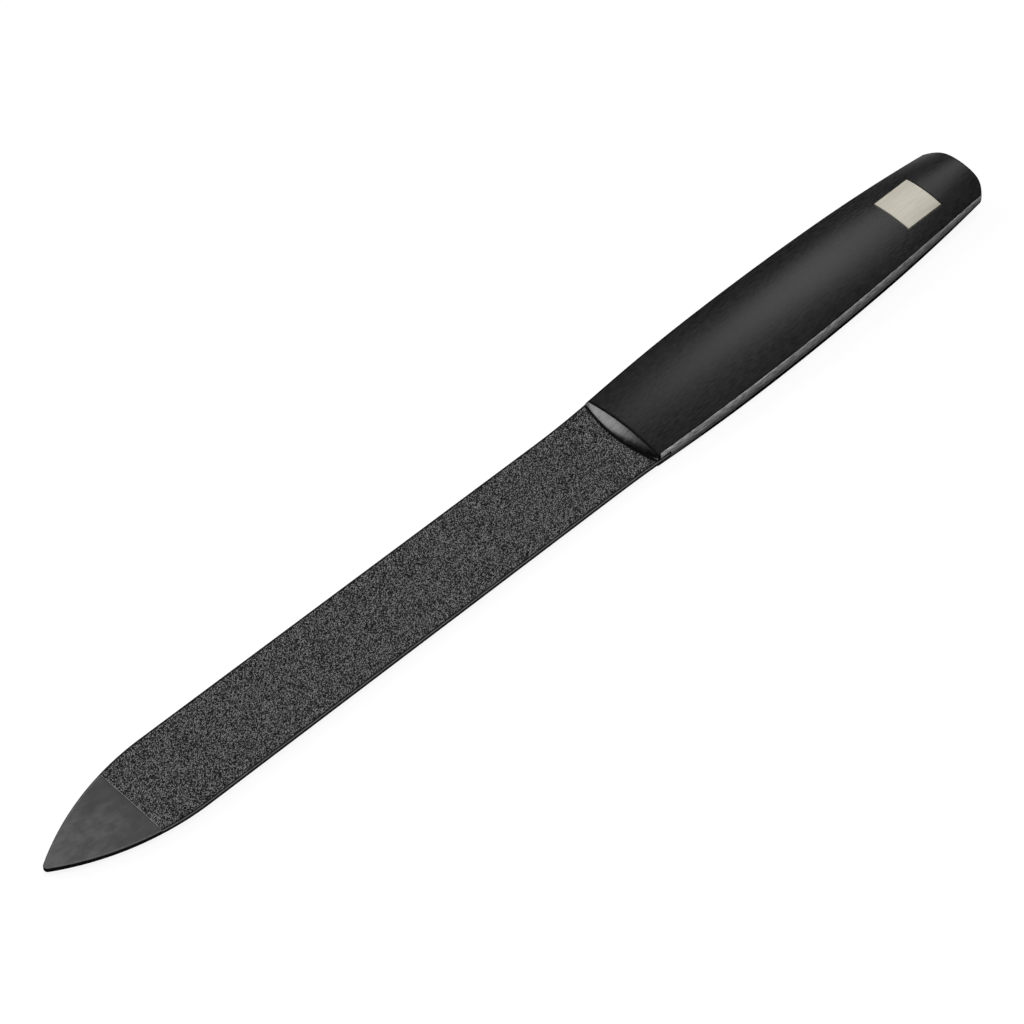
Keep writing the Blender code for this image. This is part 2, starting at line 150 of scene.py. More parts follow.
def tang_outline(grow):
    """Half outline of the tang: a quarter-round fillet, a straight taper and a half-round end.

    Both rounds are a radius times the cosine and sine of a turn, and all of it is set out from
    the tang by the same growth.
    """
    front, rear = TANG_FRONT_HALF + grow, TANG_REAR_HALF + grow
    turn = np.linspace(0, math.pi / 2, FILLET_POINTS)
    fillet = np.stack([HEEL_END + HEEL_BACK_SLANT + TANG_FILLET * (1 - np.cos(turn)),
                       front + TANG_FILLET * (1 - np.sin(turn))], axis=-1)
    turn = np.linspace(math.pi / 2, 0, TANG_END_POINTS)
    end = np.stack([TANG_END + grow - rear + rear * np.cos(turn), rear * np.sin(turn)], axis=-1)
    return np.concatenate([fillet, end])


def blank_outline():
    """Half outline of the whole blank, from the nose back along the +Y side to the tang's end."""
    radius = point_arc_radius()
    nose_turn = math.asin((radius - BLADE_HALF_WIDTH) / (radius - NOSE_RADIUS))
    turn = np.linspace(0, 1, NOSE_POINTS) * nose_turn
    nose = np.stack([NOSE_RADIUS * (1 - np.cos(turn)), NOSE_RADIUS * np.sin(turn)], axis=-1)
    bare_arc = np.linspace(nose[-1, 0], COAT_START, ARC_POINTS[0])[1:]
    coated_arc = np.linspace(COAT_START, POINT_LENGTH, ARC_POINTS[1])[1:]
    straight = np.linspace(POINT_LENGTH, FLARE_START, STRAIGHT_POINTS)[1:]
    flare = np.linspace(FLARE_START, HEEL_END, FLARE_POINTS)[1:]
    station = np.concatenate([bare_arc, coated_arc, straight, flare])
    edge = np.stack([station, blade_half_width(station)], axis=-1)
    return np.concatenate([nose, edge, tang_outline(0.0)])


def outward(outline):
    """Unit normals of a half outline, from the step between the points on either side.

    The first and last points lie on the middle line, where the normal points along it.
    """
    along = np.gradient(outline, axis=0)
    normal = np.stack([-along[:, 1], along[:, 0]], axis=-1)
    normal[0], normal[-1] = (-1, 0), (1, 0)
    return normal / np.linalg.norm(normal, axis=1, keepdims=True)


def edge_profile():
    """Inset and height down one edge of the blank: flat, quarter round, side, round, flat.

    On the upper quarter the inset is radius times (1 - sine of the turn) and the height falls
    by radius times (1 - cosine). The lower quarter is its mirror image. Two more insets on the
    flat bound the band that is partly rubbed and partly a painted highlight, and the band that
    is dark from binder and painted shadow.
    """
    turn = np.linspace(0, math.pi / 2, EDGE_STEPS + 1)
    inset = np.concatenate([[BINDER_AND_SHADOW_INSET, RUBBED_AND_HIGHLIGHT_INSET], BLANK_EDGE_RADIUS * (1 - np.sin(turn))])
    fall = np.concatenate([[0.0, 0.0], BLANK_EDGE_RADIUS * (1 - np.cos(turn))])
    height = BLANK_THICKNESS / 2 - fall
    return np.concatenate([inset, inset[::-1]]), np.concatenate([height, -height[::-1]])


def blank_points(outline):
    """The blank as a grid: for each point of the half outline, a loop round its cross-section.

    Ahead of the coat the lower half gets evenly thicker up to the point, where the share
    POINT_THICKER is added to it.
    """
    inset, height = edge_profile()
    normal = outward(outline)
    x = outline[:, :1] - inset * normal[:, :1]
    y = outline[:, 1:] - inset * normal[:, 1:]
    z = height + 0 * x
    far = np.stack([x, y, z], axis=-1)
    near = np.stack([x, -y, z], axis=-1)[:, ::-1]
    grid = np.concatenate([far, near], axis=1)
    added = POINT_THICKER * np.clip(1 - grid[..., 0] / COAT_START, 0, 1)
    grid[..., 2] *= 1 + np.where(grid[..., 2] < 0, added, 0)
    return grid


def band_faces(rows, columns, around):
    """Quads between neighbouring rows and columns of points numbered row by row.

    Around says whether the last column joins the first.
    """
    row, column = np.meshgrid(np.arange(rows - 1), np.arange(columns - 1 + around), indexing="ij")
    first, after = row * columns + column, row * columns + (column + 1) % columns
    return np.stack([first, first + columns, after + columns, after], axis=-1).reshape(-1, 4)


def in_scene(name, contents):
    """An object that holds a mesh, a lamp or a camera, put into the scene at the origin."""
    piece = bpy.data.objects.new(name, contents)
    bpy.context.scene.collection.objects.link(piece)
    return piece


def shade(mesh, sharp_degrees):
    """Shades a mesh smooth but for the edges that turn by more than this angle."""
    mesh.shade_smooth()
    mesh.set_sharp_from_angle(angle=math.radians(sharp_degrees))


def add_piece(name, points, faces, finishes=(), kinds=0):
    """A closed shell from points and faces: doubles merged, normals turned outwards, shaded.

    Each face wears the finish that its kind numbers.
    """
    mesh = bpy.data.meshes.new(name)
    mesh.from_pydata(points.reshape(-1, 3).tolist(), [], [list(face) for face in faces])
    for finish in finishes:
        mesh.materials.append(finish)
    numbers = np.broadcast_to(kinds, len(faces)).astype(np.int32)
    mesh.polygons.foreach_set("material_index", numbers)
    shell = bmesh.new()
    shell.from_mesh(mesh)
    bmesh.ops.remove_doubles(shell, verts=shell.verts, dist=MERGE_DISTANCE)
    bmesh.ops.dissolve_degenerate(shell, edges=shell.edges, dist=MERGE_DISTANCE)
    bmesh.ops.recalc_face_normals(shell, faces=shell.faces)
    shell.to_mesh(mesh)
    shell.free()
    shade(mesh, SHARP_DEGREES)
    return in_scene(name, mesh)


def prism(name, outline, low, high):
    """An upright prism over a closed outline, placed on the file, for cutting another piece."""
    count = len(outline)
    floor = np.column_stack([outline, np.full(count, low)])
    roof = np.column_stack([outline, np.full(count, high)])
    faces = band_faces(2, count, True).tolist()
    faces += [list(range(count)), list(range(2 * count - 1, count - 1, -1))]
    return add_piece(name, placed(np.concatenate([floor, roof])), faces)


def round_bore(station):
    """The bore for a pin: a circle of points round the station, carried up and down."""
    turn = np.linspace(0, 2 * math.pi, BORE_POINTS, endpoint=False)
    circle = np.stack([station + PIN_HOLE_RADIUS * np.cos(turn),
                       PIN_HOLE_RADIUS * np.sin(turn)], axis=-1)
    return prism("bore", circle, -PIN_HOLE_REACH, PIN_HOLE_REACH)


def carve(piece, cutters):
    """Takes the cutters out of a piece, keeps the result as its mesh, and drops the cutters."""
    for cutter in cutters:
        cutting = piece.modifiers.new(cutter.name, "BOOLEAN")
        cutting.operation = "DIFFERENCE"
        cutting.solver = "EXACT"
        cutting.object = cutter
    graph = bpy.context.evaluated_depsgraph_get()
    carved = bpy.data.meshes.new_from_object(piece.evaluated_get(graph))
    piece.modifiers.clear()
    piece.data = carved
    carved.name = piece.name
    shade(carved, SHARP_DEGREES)
    for cutter in cutters:
        bpy.data.objects.remove(cutter, do_unlink=True)


def finish_tree(name):
    """A new material, its node tree and its Principled shader."""
    material = bpy.data.materials.new(name)
    material.use_nodes = True
    tree = material.node_tree
    return material, tree, tree.nodes["Principled BSDF"]


def pattern(tree, per_mm, detail=2.0):
    """Noise on object coordinates with this many features per millimetre along X, Y and Z."""
    place = tree.nodes.new("ShaderNodeTexCoord")
    stretch = tree.nodes.new("ShaderNodeMapping")
    stretch.inputs["Scale"].default_value = [count / MM for count in per_mm]
    noise = tree.nodes.new("ShaderNodeTexNoise")
    noise.inputs["Scale"].default_value = 1.0
    noise.inputs["Detail"].default_value = detail
    tree.links.new(place.outputs["Object"], stretch.inputs["Vector"])
    tree.links.new(stretch.outputs["Vector"], noise.inputs["Vector"])
    return noise.outputs["Fac"]


def ramp(tree, source, stops):
    """A colour ramp over a number: pairs of a position and a grey or colour."""
    node = tree.nodes.new("ShaderNodeValToRGB")
    while len(node.color_ramp.elements) < len(stops):
        node.color_ramp.elements.new(0.5)
    for element, (position, color) in zip(node.color_ramp.elements, stops):
        element.position = position
        element.color = (*np.broadcast_to(color, 3), 1.0)
    tree.links.new(source, node.inputs["Fac"])
    return node.outputs["Color"]


def spread(tree, source, low, high, wide=(0.3, 0.7)):
    """A number mapped from a range, as a rule a pattern's middle range, onto low to high."""
    node = tree.nodes.new("ShaderNodeMapRange")
    node.inputs["From Min"].default_value, node.inputs["From Max"].default_value = wide
    node.inputs["To Min"].default_value, node.inputs["To Max"].default_value = low, high
    tree.links.new(source, node.inputs["Value"])
    return node.outputs["Result"]


def combined(tree, operation, first, second):
    """One number from two, by a sum, a product or another operation."""
    node = tree.nodes.new("ShaderNodeMath")
    node.operation = operation
    tree.links.new(first, node.inputs[0])
    tree.links.new(second, node.inputs[1])
    return node.outputs["Value"]


def along_file(tree):
    """The place along the file, in metres from its middle."""
    place = tree.nodes.new("ShaderNodeTexCoord")
    parts = tree.nodes.new("ShaderNodeSeparateXYZ")
    tree.links.new(place.outputs["Object"], parts.inputs["Vector"])
    return parts.outputs["X"]


def raise_surface(tree, shader, source, depth):
    """Bump on a shader from a pattern whose full range is this deep."""
    node = tree.nodes.new("ShaderNodeBump")
    node.inputs["Strength"].default_value = 1.0
    node.inputs["Distance"].default_value = depth
    tree.links.new(source, node.inputs["Height"])
    tree.links.new(node.outputs["Normal"], shader.inputs["Normal"])


def blackened_steel():
    """Satin ground steel under a black oxide, clouded, with fine marks along the file.

    It gets paler over the last part of the bare point.
    """
    material, tree, shader = finish_tree("blackened_steel")
    clouds = pattern(tree, (0.8, 1.2, 1.2), 5.0)
    grain = pattern(tree, (0.6, 9.0, 9.0), 3.0)
    # Paler towards the point: a colour gradient along the file.
    paler_to_point = spread(tree, along_file(tree), 0.25, -0.10, (-0.0620, -0.0540))
    paleness = combined(tree, "ADD", clouds, paler_to_point)
    tones = ramp(tree, paleness, [(0.25, 0.050), (0.50, 0.065), (0.85, 0.108)])
    tree.links.new(tones, shader.inputs["Base Color"])
    tree.links.new(spread(tree, grain, 0.50, 0.62), shader.inputs["Roughness"])
    shader.inputs["Specular IOR Level"].default_value = 0.25
    raise_surface(tree, shader, grain, 0.002 * MM)
    return material


def sheared_side_and_painted_shade():
    """The cut sides of the strip: dull black scale with fine upright tearing marks, darkened to
    nearly black as painted shade of faces that look down at the floor.
    """
    material, tree, shader = finish_tree("sheared_side_and_painted_shade")
    tears = pattern(tree, (9.0, 9.0, 1.5), 2.0)
    tree.links.new(ramp(tree, tears, [(0.3, 0.004), (0.7, 0.010)]), shader.inputs["Base Color"])
    tree.links.new(spread(tree, tears, 0.6, 0.75), shader.inputs["Roughness"])
    shader.inputs["Specular IOR Level"].default_value = 0.02
    raise_surface(tree, shader, tears, 0.003 * MM)
    return material


def rubbed_edge_and_painted_highlight():
    """A thin line along the edges, a little bright through the black: partly rubbed, partly a
    painted highlight.
    """
    material, tree, shader = finish_tree("rubbed_edge_and_painted_highlight")
    wear = pattern(tree, (2.5, 2.5, 2.5), 3.0)
    tree.links.new(ramp(tree, wear, [(0.3, 0.08), (0.7, 0.13)]), shader.inputs["Base Color"])
    tree.links.new(spread(tree, wear, 0.4, 0.55), shader.inputs["Roughness"])
    shader.inputs["Specular IOR Level"].default_value = 0.3
    return material


def binder_and_painted_shadow_margin():
    """The narrow margin beside the grit, nearly black: partly binder that ran out, partly a
    painted shadow of the grit's edge.
    """
    material, tree, shader = finish_tree("binder_and_painted_shadow_margin")
    shade_tone = pattern(tree, (3.0, 5.0, 5.0), 3.0)
    tree.links.new(ramp(tree, shade_tone, [(0.3, 0.008), (0.7, 0.020)]), shader.inputs["Base Color"])
    tree.links.new(spread(tree, shade_tone, 0.5, 0.7), shader.inputs["Roughness"])
    shader.inputs["Specular IOR Level"].default_value = 0.2
    return material


def blank_kinds(outline, columns):
    """Finish numbers of the faces round each cross-section.

    Columns run round the far edge and back round the near one, with one face fewer on each
    edge than it has points. Ahead of the grit a line inside the edge is bright, partly rubbed
    and partly a painted highlight. Beside the grit the margins are dark from binder and painted
    shadow, the far one right up to its rounding as painted shade, and the near rounding gets
    the bright finish as a painted highlight.
    """
    half = columns // 2
    far = np.full(half, SIDE)
    far[[0, half - 2]] = BINDER_AND_PAINTED_SHADOW
    far[[1, half - 3]] = RUBBED_AND_PAINTED_HIGHLIGHT
    far[half - 1] = FLAT
    bare = np.choose(far, [FLAT, SIDE, FLAT, RUBBED_AND_PAINTED_HIGHLIGHT])
    # On the near edge the bright finish runs over both roundings: a painted highlight.
    near = far.copy()
    near[1:half - 2] = RUBBED_AND_PAINTED_HIGHLIGHT
    near[half // 2 - 1] = SIDE
    # The far edge beside the grit is dark right up to its rounding: painted shade.
    with_painted_shade = np.where(far == RUBBED_AND_PAINTED_HIGHLIGHT, BINDER_AND_PAINTED_SHADOW, far)
    ahead = outline[:-1, :1] < COAT_START
    kinds = np.where(ahead, np.concatenate([bare, bare]), np.concatenate([with_painted_shade, near]))
    return kinds.ravel()


blank_line = blank_outline()
blank_grid = blank_points(blank_line)
blank_finishes = [blackened_steel(), sheared_side_and_painted_shade(), rubbed_edge_and_painted_highlight(), binder_and_painted_shadow_margin()]
blank = add_piece("steel_blank", placed(blank_grid), band_faces(*blank_grid.shape[:2], True),
                  blank_finishes, blank_kinds(blank_line, blank_grid.shape[1]))
carve(blank, [round_bore(station) for station in PIN_STATIONS])
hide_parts("file_blank")
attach(blank, "root")

# Coarse grit coat. Sapphire grit bonded in a dark binder on the upper face of the blade, from a
# straight line behind the bare point to just under the handle, a hair inside the blade's
# edges. The crystals stand up unevenly, and their tops shine paler than the pits between.
BLADE_LENGTH = 78.4 * MM
COAT_END = 79.2 * MM
COAT_EDGE_MARGIN = 0.22 * MM
COAT_FOOT = BLANK_THICKNESS / 2 + 0.01 * MM
COAT_MEAN_HEIGHT = 0.328 * MM
COARSE_RELIEF = 0.032 * MM
COARSE_CELLS = (760, 116)
COARSE_SEED = 11
COAT_SHARP_DEGREES = 60.0
CRYSTAL_WEIGHT = 0.25
FRONT_PAINTED_GLINT = 1.6
FAR_EDGE_PAINTED_SHADE = 3
SHOULDER_FOOT_BULGE = 0.79 * MM
SHOULDER_PAINTED_SHADE = 4
SHOULDER_SHADE_LEAD, SHOULDER_SHADE_FADE, SHOULDER_SHADE_WANDER = 0.17 * MM, 0.08 * MM, 0.12 * MM


def crystal_heights(rows, columns, seed):
    """Uneven crystal heights from -1 to 1.

    Seeded noise is divided by its own spread and pressed through a hyperbolic tangent.
    """
    noise = np.random.default_rng(seed).normal(size=(rows, columns))
    return np.tanh(noise / noise.std())


def grit_coat(name, side, cells, relief, seed):
    """One coat as a closed shell: a relief across each station, then down and back under it.

    Height is the mean height plus relief times the crystal heights. Side is 1 above the
    blade and -1 below it. The crystal heights are kept on the mesh as an attribute, with
    painted light added to it: raised along the front for a painted highlight, and lowered
    along the far edge and ahead of the shoulder's foot for painted shade.
    """
    rows, columns = cells[0] + 1, cells[1] + 1
    station = np.linspace(COAT_START, COAT_END, rows)[:, None]
    share = np.linspace(-1, 1, columns)
    half = blade_half_width(station) - COAT_EDGE_MARGIN
    crystals = crystal_heights(rows, columns, seed)
    crystals[0] = np.abs(crystals[0])
    height = COAT_MEAN_HEIGHT + relief * crystals
    top = np.stack([station + 0 * share, half * share, height], axis=-1)
    foot = np.concatenate([top[:, -1:], top[:, :1]], axis=1)
    foot[..., 2] = COAT_FOOT
    grid = np.concatenate([top, foot], axis=1)
    grid[..., 2] *= side
    around = columns + 2
    faces = band_faces(rows, around, True).tolist()
    faces += [list(range(around)), list(range((rows - 1) * around, rows * around))]
    mesh = bpy.data.meshes.new(name)
    mesh.from_pydata(placed(grid).reshape(-1, 3).tolist(), [], faces)
    # Painted shade on the grit ahead of the shoulder's foot, with a ragged edge.
    shoulder = BLADE_LENGTH - SHOULDER_FOOT_BULGE * (1 - share ** 2)
    past = station - shoulder + SHOULDER_SHADE_LEAD + SHOULDER_SHADE_WANDER * crystals
    shown = crystals - SHOULDER_PAINTED_SHADE * np.clip(past / SHOULDER_SHADE_FADE, 0, 1)
    # A painted shade along the far edge.
    shown[:, -1] -= FAR_EDGE_PAINTED_SHADE
    # A painted highlight along the front row.
    shown[0] += FRONT_PAINTED_GLINT
    shown = np.pad(shown, ((0, 0), (0, 2)))
    attribute = mesh.attributes.new("crystal", "FLOAT", "POINT")
    attribute.data.foreach_set("value", shown.ravel().astype(np.float32))
    shell = bmesh.new()
    shell.from_mesh(mesh)
    bmesh.ops.recalc_face_normals(shell, faces=shell.faces)
    shell.to_mesh(mesh)
    shell.free()
    shade(mesh, COAT_SHARP_DEGREES)
    return in_scene(name, mesh)


def bonded_grit(name, dark, middle, pale, fine):
    """Grit in its binder: dark in the pits, grey on the slopes, pale on the crystal tops.

    Fine is the number of grains in a millimetre of the noise laid over the crystals.
    """
    material, tree, shader = finish_tree(name)
    crystal = tree.nodes.new("ShaderNodeAttribute")
    crystal.attribute_name = "crystal"
    grain = pattern(tree, (fine, fine, fine), 0.0)
    mixed = tree.nodes.new("ShaderNodeMath")
    mixed.operation = "MULTIPLY_ADD"
    mixed.inputs[1].default_value = CRYSTAL_WEIGHT
    tree.links.new(crystal.outputs["Fac"], mixed.inputs[0])
    tree.links.new(grain, mixed.inputs[2])
    # Above the pale stop the ramp rises to three times pale; the painted highlight along the front
    # reaches it.
    stops = [(0.37, dark), (0.49, middle), (0.60, pale), (0.76, 3 * pale)]
    color = ramp(tree, mixed.outputs["Value"], stops)
    tree.links.new(color, shader.inputs["Base Color"])
    tree.links.new(spread(tree, grain, 0.45, 0.75), shader.inputs["Roughness"])
    shader.inputs["Specular IOR Level"].default_value = 0.08
    return material


coarse = grit_coat("coarse_grit", 1, COARSE_CELLS, COARSE_RELIEF, COARSE_SEED)
coarse_finish = bonded_grit("coarse_grit_finish", dark=0.001, middle=0.022, pale=0.088, fine=10.0)
coarse.data.materials.append(coarse_finish)
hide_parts("coarse_grit_coat")
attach(coarse, "root")

# Fine grit coat. The same bonded sapphire on the underside of the blade, in a finer grain for
# finishing, so its relief is about half as deep and its pits and tops differ less.
FINE_RELIEF = 0.015 * MM
FINE_CELLS = (560, 86)
FINE_SEED = 12
fine = grit_coat("fine_grit", -1, FINE_CELLS, FINE_RELIEF, FINE_SEED)
fine_finish = bonded_grit("fine_grit_finish", dark=0.010, middle=0.028, pale=0.060, fine=12.0)
fine.data.materials.append(fine_finish)
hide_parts("fine_grit_coat")
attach(fine, "root")

# Handle scales. Two domed shells of steel, black coated and brushed along the handle, with
# paler side walls ground along it. They close over the tang, lean out to a fine ridge where
# they meet, and are hollowed inside for the heel, the tang, the pins and the plate.
HANDLE_LENGTH = 51.6 * MM
FRONT_TO_WIDEST = 18.1 * MM
EDGE_HALF_WIDTHS = (5.15 * MM, 5.70 * MM, 4.13 * MM)
RIDGE_OVERHANGS = (0.35 * MM, 0.20 * MM, 0.10 * MM)
RIDGE_END_OVERHANG = 0.04 * MM
WALL_HEIGHT = 1.08 * MM
WALL_FRONT_FALL, WALL_FRONT_CURVE = 0.24 * MM, 13.6 * MM
WALL_REAR_FALL, WALL_REAR_CURVE = 0.58 * MM, 18.0 * MM
CROWN_HEIGHT = 1.689 * MM
CROWN_FRONT_FALL, CROWN_FRONT_CURVE = 0.54 * MM, 27.6 * MM
REAR_ARC_DEPTH, REAR_ARC_POWER = 1.36 * MM, 5.2
SHOULDER_TOP_SETBACK, SHOULDER_TOP_HOLLOW = 0.25 * MM, 0.25 * MM
SHOULDER_FOOT = 0.39 * MM
MOUTH_ROOF = 0.46 * MM
MOUTH_END = 80.2 * MM
MOUTH_LEAD, MOUTH_OVERREACH = 2.0 * MM, 1.0 * MM
POCKET_GAP, POCKET_ROOF_GAP, POCKET_LEAD = 0.08 * MM, 0.02 * MM, 0.5 * MM
SCALE_FACE = 0.05 * MM
LIP_FACE, LIP_WIDTH = 0.01 * MM, 0.09 * MM
RIM_ON_DOME, RIM_ON_WALL, RIM_ON_SHOULDER = 0.15 * MM, 0.06 * MM, 0.12 * MM
SCALE_ROWS, SCALE_COLUMNS = 132, 48
RIM_STEPS, WALL_STEPS = 5, 8
# On the lower scale nearly all of the wall is black: painted shade.
UPPER_BLACK_BANDS, LOWER_RIM_AND_PAINTED_SHADE_BANDS = RIM_STEPS - 2, RIM_STEPS + WALL_STEPS - 2
DOME, WALL, SHOULDER, BLACK_RIM_AND_PAINTED_SHADE = 0, 1, 2, 3
PLATE_HALF_SIDE = 2.53 * MM
PLATE_STATION = 121.6 * MM
PLATE_THICKNESS = 0.30 * MM
PLATE_GAP = 0.13 * MM
PLATE_POINTS, PLATE_RIM_STEPS = 25, 4
RECESS_GAP_BELOW, RECESS_EDGE_RADIUS, RECESS_CUT_OVER = 0.01 * MM, 0.01 * MM, 0.5 * MM


def barrelled(station, front, widest, rear):
    """Two parabolas that meet level at the widest station and reach these values at the ends."""
    before = (BLADE_LENGTH + FRONT_TO_WIDEST - station) / FRONT_TO_WIDEST
    after = -before * FRONT_TO_WIDEST / (HANDLE_LENGTH - FRONT_TO_WIDEST)
    added = np.where(before > 0, (front - widest) * before ** 2, (rear - widest) * after ** 2)
    return widest + added


def edge_half(station):
    """Half the handle's width at the upper edge of its side walls."""
    return barrelled(station, *EDGE_HALF_WIDTHS)


def ridge_half(station):
    """Half the handle's width at the parting plane, where the two scales meet in a ridge."""
    return edge_half(station) + barrelled(station, *RIDGE_OVERHANGS)


def dome_height(station, across):
    """Height of the dome: wall height, plus crown less wall times (1 - share across squared).

    The wall falls away as a parabola towards both ends, and the crown towards the front.
    """
    front = np.clip((BLADE_LENGTH + WALL_FRONT_CURVE - station) / WALL_FRONT_CURVE, 0, None)
    end = BLADE_LENGTH + HANDLE_LENGTH
    rear = np.clip((station - end + WALL_REAR_CURVE) / WALL_REAR_CURVE, 0, None)
    wall = WALL_HEIGHT - WALL_FRONT_FALL * front ** 2 - WALL_REAR_FALL * rear ** 2
    low = np.clip((BLADE_LENGTH + CROWN_FRONT_CURVE - station) / CROWN_FRONT_CURVE, 0, None)
    crown = CROWN_HEIGHT - CROWN_FRONT_FALL * low ** 2
    return wall + (crown - wall) * (1 - (across / edge_half(station)) ** 2)


def bow(share):
    """How far out a wall has come at a share of the way down: share times (2 - share)."""
    return share * (2 - share)


def scale_grids():
    """The domed face and the base below it as two grids of the same rows and columns.

    Rows run from the shoulder to the rear arc, columns from the near wall to the far one. The
    shoulder's upper edge is a little hollow and its foot swells towards the point, both by
    their depth times (1 - share across squared). The base carries the bowed face between them
    down to the parting plane. The rear arc falls back by its depth times the share to a power.
    """
    share = np.linspace(-1, 1, SCALE_COLUMNS + 1)
    along = np.linspace(0, 1, SCALE_ROWS + 1)[:, None]
    swell = 1 - share ** 2
    foot = BLADE_LENGTH - SHOULDER_FOOT_BULGE * swell
    top = BLADE_LENGTH + SHOULDER_TOP_SETBACK + SHOULDER_TOP_HOLLOW * swell
    top_height = dome_height(top, share * edge_half(top))
    base = top - (top - foot) / bow((top_height - SHOULDER_FOOT) / (top_height - SCALE_FACE))
    rear_end = BLADE_LENGTH + HANDLE_LENGTH
    rear = rear_end - RIDGE_END_OVERHANG - REAR_ARC_DEPTH * np.abs(share) ** REAR_ARC_POWER
    x = top + (rear - top) * along
    dome = np.stack([x, share * edge_half(x), dome_height(x, share * edge_half(x))], axis=-1)
    x = base + (rear + RIDGE_END_OVERHANG - base) * along
    floor = np.stack([x, share * ridge_half(x), np.full_like(x, SCALE_FACE)], axis=-1)
    return dome, floor


def rim(grid):
    """The border of a grid as one loop, anticlockwise from above, each point once."""
    return np.concatenate([grid[:-1, 0], grid[-1, :-1], grid[:0:-1, -1], grid[0, :0:-1]])


def towards(start, end, distance):
    """Points moved this distance from start towards end."""
    way = end - start
    return start + way * distance / np.linalg.norm(way, axis=-1, keepdims=True)


def inner_rim(grid):
    """The loop of points one step in from the border of a grid, matched to the border's points."""
    row = np.clip(np.arange(grid.shape[0]), 1, grid.shape[0] - 2)[:, None]
    column = np.clip(np.arange(grid.shape[1]), 1, grid.shape[1] - 2)
    return rim(grid[row, column])


def rounded_loops(corner, start, end, steps):
    """Loops over a rounded edge: a quadratic curve that leans on the corner.

    Each point is (1 - t) squared of the start, 2 t (1 - t) of the corner, t squared of the end.
    """
    t = np.linspace(0, 1, steps + 1)[:, None, None]
    return (1 - t) ** 2 * start + 2 * t * (1 - t) * corner + t ** 2 * end


def wall_point(top, base, share):
    """Points at a share of the way down a bowed wall, upright where the scales meet."""
    return top + (base - top) * np.concatenate([bow(share), bow(share), share], axis=-1)


def scale_kinds(black_bands):
    """Finish numbers of a scale's faces, the inside being finished as the dome is.

    Each band runs round the border: near wall, rear arc, far wall, shoulder. This many bands
    are black on the near wall, counted from the dome, and the whole rim elsewhere. The walls
    are also black where they meet the shoulder. On the lower scale the bands run all round
    and cover nearly all of the walls: painted shade.
    """
    dome = np.full(SCALE_ROWS * SCALE_COLUMNS, DOME)
    border = 2 * (SCALE_ROWS + SCALE_COLUMNS)
    bands = np.full((RIM_STEPS + WALL_STEPS, border), WALL)
    bands[:black_bands] = BLACK_RIM_AND_PAINTED_SHADE
    bands[:RIM_STEPS, SCALE_ROWS:] = BLACK_RIM_AND_PAINTED_SHADE
    bands[RIM_STEPS:, -SCALE_COLUMNS:] = SHOULDER
    bands[:, [0, -SCALE_COLUMNS - 1]] = BLACK_RIM_AND_PAINTED_SHADE
    inside = np.full(3 * border + 1, DOME)
    return np.concatenate([dome, bands.ravel(), inside])


def scale_shell(name, side, finishes, black_bands):
    """One scale before it is hollowed: dome, rounded rim, bowed walls, lip and flat face.

    A bowed wall starts outwards twice as fast as it falls, so a length of rim is turned into
    a share of the way down by the slope that has the outward part of that way doubled.
    """
    dome, floor = scale_grids()
    corner, foot = rim(dome), rim(floor)
    slope = (foot - corner) * (2, 2, 1)
    turned = RIM_ON_WALL / np.linalg.norm(slope, axis=-1, keepdims=True)
    turned[-SCALE_COLUMNS:] *= RIM_ON_SHOULDER / RIM_ON_WALL
    over_edge = rounded_loops(corner, towards(corner, inner_rim(dome), RIM_ON_DOME),
                              wall_point(corner, foot, turned), RIM_STEPS)
    down = np.linspace(0, 1, WALL_STEPS + 1)[1:, None, None]
    down_wall = wall_point(corner, foot, turned + (1 - turned) * down)
    drop = np.array([0, 0, LIP_FACE - SCALE_FACE])
    inside = towards(foot, inner_rim(floor), LIP_WIDTH)
    loops = np.concatenate([over_edge[1:], down_wall, [foot + drop, inside + drop, inside]])
    number = np.arange(dome.shape[0] * dome.shape[1]).reshape(dome.shape[:2])
    border = rim(number)
    flat = dome.reshape(-1, 3)
    flat[border] = over_edge[0]
    points = np.concatenate([flat, loops.reshape(-1, 3)])
    size = len(border)
    order = np.concatenate([border, len(flat) + np.arange(loops.shape[0] * size)])
    faces = band_faces(*dome.shape[:2], False).tolist()
    faces += order[band_faces(loops.shape[0] + 1, size, True)].tolist()
    faces.append(order[-size:].tolist())
    points[:, 2] *= side
    return add_piece(name, placed(points), faces, finishes, scale_kinds(black_bands))


def hollows():
    """Cutters for the heel's mouth, the pocket round the tang and the blind bores for the pins."""
    reach = EDGE_HALF_WIDTHS[1] + MOUTH_OVERREACH
    front = BLADE_LENGTH - MOUTH_LEAD
    mouth = np.array([(front, -reach), (MOUTH_END, -reach), (MOUTH_END, reach), (front, reach)])
    half = tang_outline(POCKET_GAP)
    half = np.concatenate([[(HEEL_END - POCKET_LEAD, half[0, 1])], half])
    pocket = np.concatenate([half, half[-2::-1] * (1, -1)])
    pocket_roof = BLANK_THICKNESS / 2 + POCKET_ROOF_GAP
    cutters = [prism("mouth", mouth, -MOUTH_ROOF, MOUTH_ROOF)]
    cutters.append(prism("pocket", pocket, -pocket_roof, pocket_roof))
    return cutters + [round_bore(station) for station in PIN_STATIONS]


